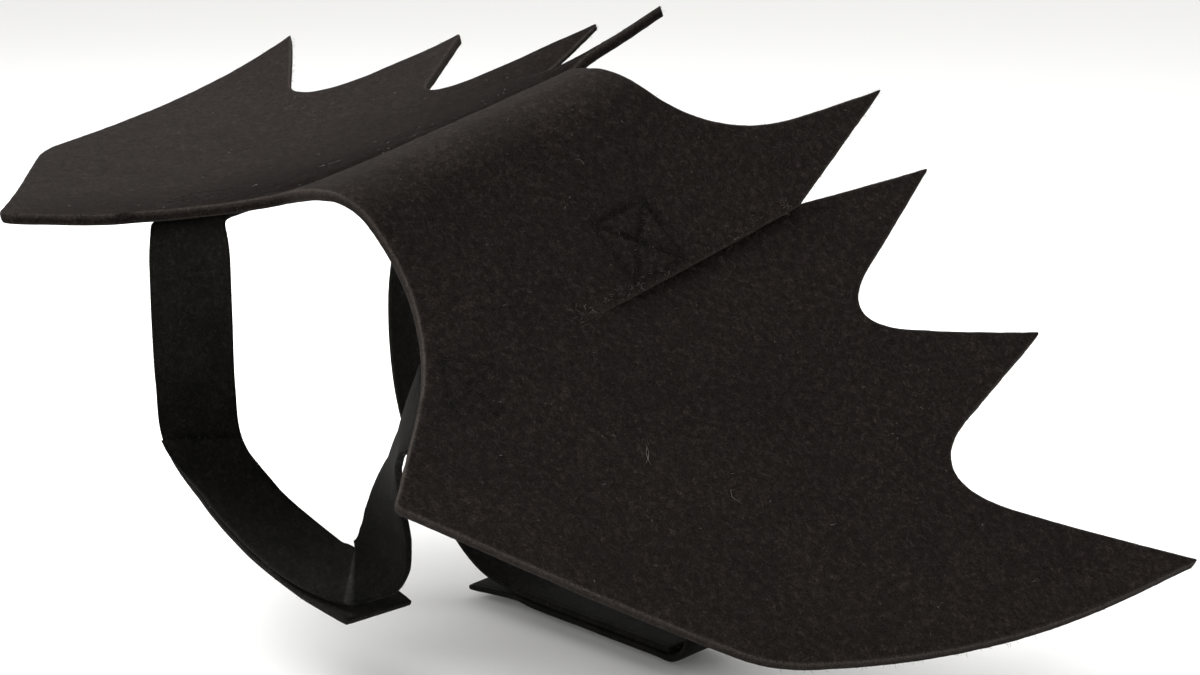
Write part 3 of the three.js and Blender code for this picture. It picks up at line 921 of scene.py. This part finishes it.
freeRuns = {             # x, y, z of the tape's middle, turn of its width from +Y toward +X, tip of its rear
    "frontLeft": [
        (-56.4, -41.3, -23.2, 61, 4), (-55.4, -42, -25.8, 55, 2), (-54.9, -42.3, -32, 43, 1),
        (-54.2, -42.7, -46, 41, 1), (-53.7, -42.7, -63, 47, 0), (-50.8, -43, -76.4, 47, 3),
        (-38.8, -41, -88.9, 22, -5), (-23, -38.7, -98, 7, 5), (-6.8, -36.2, -104.1, 1, 8),
        (8, -34, -108.6, -2, 1),
    ],
    "frontRight": [
        (39.3, -43.3, -49.2, -58, 42), (38.4, -44.2, -51.4, -56, 34), (36, -44.8, -55, -55, 20),
        (32.3, -45.1, -60, -53, 0), (27.2, -43.2, -66, -57, -8), (22.3, -41.2, -74.5, -69, -2),
        (17.4, -38, -84, -82, 10), (12.6, -35.4, -91.5, -87, 18), (6.6, -33.6, -97.4, -84, 23),
        (0, -35, -101.4, -47, 21), (-1.6, -35.2, -101.9, -43, 20),
    ],
    "bellyLeft": [
        (-38.3, 22.6, -8.2, 0, 14), (-37, 22.2, -10.4, 0, 9), (-37.3, 21, -15, 0, 4),
        (-39.3, 20.2, -26, 0, 1), (-42, 19, -48, 0, 2), (-42.2, 23.4, -80, 6, 2),
        (-36.6, 34, -109.5, 3, 5), (-30.6, 39.4, -120.2, 3, 7), (-20, 42, -124, 2, 6),
        (10, 42.2, -125, 0, 5), (38, 42.4, -125.4, 0, 5),
    ],
    "bellyRight": [
        (25.8, 23.9, -20.4, 0, 15), (23.8, 23.7, -21.2, 0, 12), (22.8, 23.6, -23.6, 0, 9),
        (23.2, 23.7, -29.6, 0, 4), (28.2, 24.6, -47.6, 0, 0), (36.5, 29.5, -75, 0, 0),
        (43.5, 38.5, -107, 0, 3), (44.4, 41.8, -118.6, 0, 5), (42.8, 42.3, -124.4, 0, 5),
    ],
    "bellyRightEnd": [(-38.4, 41.3, -127.5, 0, 5)],
}
laps = {                 # rows of the left tape's free run that the right one lies against, and on which side
    "front": {"firstRow": 7.5, "lastRow": 5, "side": -1},
    "belly": {"firstRow": 10, "lastRow": 8, "side": 1},
}


def sewnRun(name):
    seam = seams[name]
    before, after = sewnEnds[name]
    turn = math.radians(seam["heading"])
    rows = []
    for step in (-before, 0.0, after - tapes["foldLead"], after):
        out = seam["out"] - math.sin(turn) * step
        behind = seam["back"] - math.cos(turn) * step
        rise = -tapes["sewnGap"] - tapes["thickness"] / 2 - (tapes["foldDrop"] if step == after else 0)
        inner, middle, outer = (
            hang(seam["side"] * (out - math.cos(turn) * w), behind + math.sin(turn) * w, rise)
            for w in (-1, 0, 1)
        )
        rows.append((middle, unit(outer - inner)))
    return rows


def freeRun(name):
    rows = []
    for x, y, z, turn, tip in freeRuns[name]:
        turn, tip = math.radians(turn), math.radians(tip)
        across = (math.sin(turn) * math.cos(tip), math.cos(turn) * math.cos(tip), math.sin(tip))
        rows.append((np.array([x, y, z], dtype=float), np.array(across)))
    return rows


# A smooth path through a tape's sections; share runs from 0 to 1 over them
def tapePath(rows):
    at = np.array([row[0] for row in rows])
    wide = np.array([row[1] for row in rows])
    last = len(at) - 1
    at = np.vstack([2 * at[0] - at[1], at, 2 * at[-1] - at[-2]])
    knots = np.maximum(np.linalg.norm(np.diff(at, axis=0), axis=1) ** 0.5, 1e-4)

    def place(share):
        share = np.clip(np.asarray(share, dtype=float), 0, 1) * last
        row = np.minimum(share.astype(int), last - 1)
        t = (share - row)[:, None]
        p0, p1, p2, p3 = (at[row + i] for i in range(4))
        d0, d1, d2 = (knots[row + i][:, None] for i in range(3))
        start = ((p1 - p0) / d0 - (p2 - p0) / (d0 + d1) + (p2 - p1) / d1) * d1
        end = ((p2 - p1) / d1 - (p3 - p1) / (d1 + d2) + (p3 - p2) / d2) * d1
        bend = -3 * p1 + 3 * p2 - 2 * start - end
        twist = 2 * p1 - 2 * p2 + start + end
        return p1 + start * t + bend * t ** 2 + twist * t ** 3

    def sections(share):
        share = np.asarray(share, dtype=float)
        along = unit(place(share + 1e-4) - place(share - 1e-4))
        row = np.minimum((np.clip(share, 0, 1) * last).astype(int), last - 1)
        part = (np.clip(share, 0, 1) * last - row)[:, None]
        across = unit(wide[row] * (1 - part) + wide[row + 1] * part)
        return place(share), across, unit(np.cross(across, along))

    return {"place": place, "sections": sections, "last": last}


def lappedRun(path, lap):
    first, last = (tapes["sewnRows"] + lap[row] for row in ("firstRow", "lastRow"))
    share = np.linspace(first, last, tapes["lapSteps"] + 1) / path["last"]
    at, across, out = path["sections"](share)
    lift = (tapes["thickness"] + tapes["lapGap"]) * lap["side"]
    return list(zip(at + out * lift, across))


def tapePaths():
    rows = {name: sewnRun(name) + freeRun(name) for name in seams}
    frontLeft, bellyLeft = tapePath(rows["frontLeft"]), tapePath(rows["bellyLeft"])
    frontRight = tapePath(rows["frontRight"] + lappedRun(frontLeft, laps["front"]))
    bellyRight = tapePath(
        rows["bellyRight"] + lappedRun(bellyLeft, laps["belly"]) + freeRun("bellyRightEnd")
    )
    return {
        "front_tape_left": (frontLeft, "front_strap_left"),
        "front_tape_right": (frontRight, "front_strap_right"),
        "belly_tape_left": (bellyLeft, "belly_strap_left"),
        "belly_tape_right": (bellyRight, "belly_strap_right"),
    }


def evenShares(path):
    share = np.linspace(0, 1, tapes["measureSteps"] + 1)
    runs = np.linalg.norm(np.diff(path["place"](share), axis=0), axis=1)
    far = np.concatenate([[0], np.cumsum(runs)])
    steps = math.ceil(far[-1] / tapes["step"])
    even = np.linspace(0, far[-1], steps + 1)
    return np.interp(even, far, share), even


# The cross section all round: one face from edge to edge, then the other
def tapeRing():
    selvedge = np.array(tapes["selvedge"])
    middle = [(wide, 1.0) for wide in tapes["middleRows"]]
    half = np.vstack([selvedge * (-1, 1), middle, selvedge[:0:-1]])
    return np.vstack([half, -half])


def makeTape(name, path, node, material, seed):
    share, far = evenShares(path)
    at, across, out = path["sections"](share)
    ring = tapeRing()
    wide = ring[:, 0] * tapes["width"] / 2
    high = ring[:, 1] * tapes["thickness"] / 2
    count, sides = len(far), len(ring)
    grid = np.array([(w, s) for s in far for w in wide])
    pile = waviness(grid, tapes["pileWaves"], seed).reshape(count, sides)
    sway = waviness(np.array([(s, 0.0) for s in far]), tapes["swayWaves"], seed)
    bent = sway[:, None] * (wide / (tapes["width"] / 2)) ** 2
    ends = np.minimum(far, far[-1] - far)
    pressed = 1 - tapes["endPress"] * np.exp(-(ends / tapes["endReach"]) ** 2)
    depth = high * pressed[:, None] + pile * ring[:, 1] + bent
    places = (
        at[:, None, :] + across[:, None, :] * wide[None, :, None] + out[:, None, :] * depth[:, :, None]
    ).reshape(-1, 3)
    index = np.arange(count * sides).reshape(count, sides)
    ahead = np.roll(index, -1, axis=1)
    walls = np.stack([index[:-1], ahead[:-1], ahead[1:], index[1:]], axis=-1).reshape(-1, 4)
    faces = walls.tolist() + [index[0, ::-1].tolist(), index[-1].tolist()]
    tape = addPiece(name, places, faces, material)
    weave = np.stack([
        np.tile(wide, count), np.repeat(far, sides), np.tile(np.sign(ring[:, 1]), count),
    ], axis=1)
    addAttribute(tape, "weave", weave)
    # painted shade and painted highlight along the tape
    addAttribute(tape, "paintedLight", np.repeat(np.interp(far, *zip(*tapes["paintedLightAlong"][name])), sides))
    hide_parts(node)
    return {"far": far, "sections": (at, across, out)}


tapeFinish = {
    "pile": {"scale": 900.0, "detail": 5.0, "roughness": 0.75, "distortion": 1.0},
    "wear": {"scale": 130.0, "detail": 3.0, "roughness": 0.55},
    "pileColours": [
        (0.3, (0.0012, 0.0011, 0.001)), (0.5, (0.0036, 0.0033, 0.003)), (0.74, (0.0125, 0.0114, 0.0102)),
    ],
    "wearShades": [(0.3, (0.68, 0.68, 0.68)), (0.7, (1.36, 1.34, 1.3))],
    "roughness": 0.82,
    "gloss": 0.06,       # where the painted light is 1
    "sheen": 0.012,
    "sheenRoughness": 0.5,
    "sheenTint": (0.6, 0.58, 0.55),
    "warp": 9.0,         # radians of the weave's wave for each mm across the tape, and along it
    "weft": 7.5,
    "ribs": 0.12,        # height of the weave next to the pile
    "bump": (0.6, 0.00025),
}


def tapeMaterial():
    finish = tapeFinish
    material, tree, shader = newMaterial("blackTape")
    place = objectPlace(tree)
    pile, wear = (grainOf(tree, place, **finish[name]) for name in ("pile", "wear"))
    paintedLight = attributeNode(tree, "paintedLight").outputs
    colour = ramp(tree, pile, finish["pileColours"])
    # the painted light multiplies the colour, and below it the gloss and the sheen
    for shade in (ramp(tree, wear, finish["wearShades"]), paintedLight["Color"]):
        colour = multiplied(tree, colour, shade)
    tree.links.new(colour, shader.inputs["Base Color"])
    levels = {"Specular IOR Level": finish["gloss"], "Sheen Weight": finish["sheen"]}
    for socket, level in levels.items():
        tree.links.new(doMath(tree, "MULTIPLY", paintedLight["Fac"], level), shader.inputs[socket])
    shader.inputs["Roughness"].default_value = finish["roughness"]
    shader.inputs["Sheen Roughness"].default_value = finish["sheenRoughness"]
    shader.inputs["Sheen Tint"].default_value = (*finish["sheenTint"], 1)
    split = addNode(tree, "ShaderNodeSeparateXYZ")
    tree.links.new(attributeNode(tree, "weave").outputs["Vector"], split.inputs["Vector"])
    warp, weft = (
        doMath(tree, "SINE", doMath(tree, "MULTIPLY", split.outputs[axis], finish[yarn]))
        for axis, yarn in (("X", "warp"), ("Y", "weft"))
    )
    ribs = doMath(tree, "MULTIPLY", doMath(tree, "MULTIPLY", warp, weft), finish["ribs"])
    raiseBump(tree, shader, doMath(tree, "ADD", ribs, pile), *finish["bump"])
    return material


# Loose ends of the tapes' yarn, along both edges and where the tape is cut

fray = {
    "onEdges": 260,      # on each tape
    "edgeRoot": 0.985,   # share of the half width
    "edgeStray": (0.9, 0.4),     # along the tape, and off its face
    "edgeLength": (0.4, 1.1),
    "onEnds": 18,        # on each cut end
    "endRoot": 0.97,     # furthest out, share of the half width
    "endStray": (0.35, 0.22),    # across the tape, and off its face
    "endLength": (0.3, 1.0),
    "height": 0.6,       # furthest off the middle, share of the half thickness
    "droop": 0.25,
    "radius": 0.035,
    "radiusRange": (0.7, 1.3),
    "tip": 0.5,
    "steps": 4,
    "sides": 3,
}
frayFinish = {
    "name": "tapeYarn",
    "scale": 600.0,
    "colours": [(0.35, (0.006, 0.006, 0.006)), (0.68, (0.035, 0.033, 0.031))],
    "roughness": 0.7,
    "gloss": 0.5,
}


def makeFray(laid, material):
    paths, normals = [], []
    share = np.linspace(0, 1, fray["steps"])[:, None]
    edgeAlong, edgeOff = fray["edgeStray"]
    endAcross, endOff = fray["endStray"]
    for tape in laid:
        at, across, out = tape["sections"]
        count = len(at)
        for i in range(fray["onEdges"] + 2 * fray["onEnds"]):
            if i < fray["onEdges"]:
                side = 1 if i % 2 else -1
                row = int(rng.integers(2, count - 2))
                wide = side * fray["edgeRoot"]
                way = across[row] * side + unit(at[row + 1] - at[row]) * rng.normal(0, edgeAlong)
                way = way + out[row] * rng.normal(0, edgeOff)
                length = rng.uniform(*fray["edgeLength"])
            else:
                row = 0 if i % 4 < 2 else count - 1
                wide = rng.uniform(-fray["endRoot"], fray["endRoot"])
                ahead = unit(at[0] - at[1]) if row == 0 else unit(at[-1] - at[-2])
                way = ahead + across[row] * rng.normal(0, endAcross) + out[row] * rng.normal(0, endOff)
                length = rng.uniform(*fray["endLength"])
            root = at[row] + across[row] * wide * tapes["width"] / 2
            root = root + out[row] * rng.uniform(-fray["height"], fray["height"]) * tapes["thickness"] / 2
            droop = rng.normal(0, fray["droop"])
            paths.append(root + unit(way) * share * length + out[row] * droop * share ** 2 * length)
            normals.append(np.repeat(out[row][None], fray["steps"], axis=0))
    paths, normals = np.array(paths), np.array(normals)
    taper = np.linspace(1.0, fray["tip"], fray["steps"])
    radii = fray["radius"] * rng.uniform(*fray["radiusRange"], (len(paths), 1)) * taper
    places, faces = tubes(paths, normals, radii, fray["sides"])
    return addPiece("tape_fray", places, faces, material)


# Stitches: sunk in the felt above, and in the tape below

threadFinish = {
    "name": "blackThread",
    "scale": 1800.0,
    "colours": [(0.35, (0.0022, 0.002, 0.002)), (0.68, (0.008, 0.0074, 0.0072))],
    "roughness": 0.8,
    "gloss": 0.06,
    "bump": (0.5, 0.0001),
}


# Flat places of the stitches along a line, and how far each of their points arches up
def stitchRow(line):
    run = line[1] - line[0]
    length = np.linalg.norm(run)
    pitch = thread["stitch"] + thread["gap"]
    count = max(1, int((length + thread["gap"]) / pitch))
    spread = length / count
    share = np.linspace(0, 1, thread["steps"])
    starts = np.arange(count) * spread + (spread - thread["stitch"]) / 2
    way = (starts[:, None] + share * thread["stitch"]) / length
    return line[0] + way[..., None] * run, np.sin(math.pi * share) ** 0.5


def makeStitches(material):
    paths, normals = [], []
    below = -tapes["sewnGap"] - tapes["thickness"]
    for name, seam in seams.items():
        for line in seamLines(seam):
            flat, arch = stitchRow(line)
            spots = flat.reshape(-1, 2)
            felt = wingSheet["thickness"] + unevenness(spots) - seamDents(spots)
            top = felt.reshape(flat.shape[:2]) + (arch - thread["sunkAbove"]) * thread["arch"]
            paths.append(onFelt(flat[..., 0], flat[..., 1], top))
            normals.append(feltNormals(flat[..., 0], flat[..., 1]))
        under = dict(seam, half=(min(sewnEnds[name]) - thread["endRoom"], seam["half"][1]))
        for line in seamLines(under):
            flat, arch = stitchRow(line)
            low = below - (arch - thread["sunkBelow"]) * thread["arch"]
            paths.append(hang(flat[..., 0], flat[..., 1], np.broadcast_to(low, flat.shape[:2])))
            normals.append(-feltNormals(flat[..., 0], flat[..., 1], np.zeros(flat.shape[:2])))
    paths, normals = np.vstack(paths), np.vstack(normals)
    radii = np.full(paths.shape[:2], thread["radius"])
    places, faces = tubes(paths, normals, radii, thread["sides"])
    return addPiece("box_stitches", places, faces, material)


# Making the wings

setCamera()
setStudio()
print("camera, floor and light set")
wings, edge, inward, field = makeWingSheet(feltMaterial())
print("felt sheet:", len(wings.data.vertices), "points")
woolPiece = makeWool(edge, inward, field, fibreMaterial(woolFinish))
lintPiece = makeLint(field, fibreMaterial(lintFinish))
print("wool and lint:", len(woolPiece.data.polygons) + len(lintPiece.data.polygons), "faces")
tapeBlack = tapeMaterial()
firstSeed, seedStep = tapes["seeds"]
laid = []
for i, (name, (path, node)) in enumerate(tapePaths().items()):
    laid.append(makeTape(name, path, node, tapeBlack, firstSeed + seedStep * i))
print("tapes:", ", ".join(f"{tape['far'][-1]:.0f} mm" for tape in laid))
frayPiece = makeFray(laid, fibreMaterial(frayFinish))
print("frayed yarn:", len(frayPiece.data.polygons), "faces")
stitchPiece = makeStitches(fibreMaterial(threadFinish))
print("stitches:", len(stitchPiece.data.polygons), "faces")
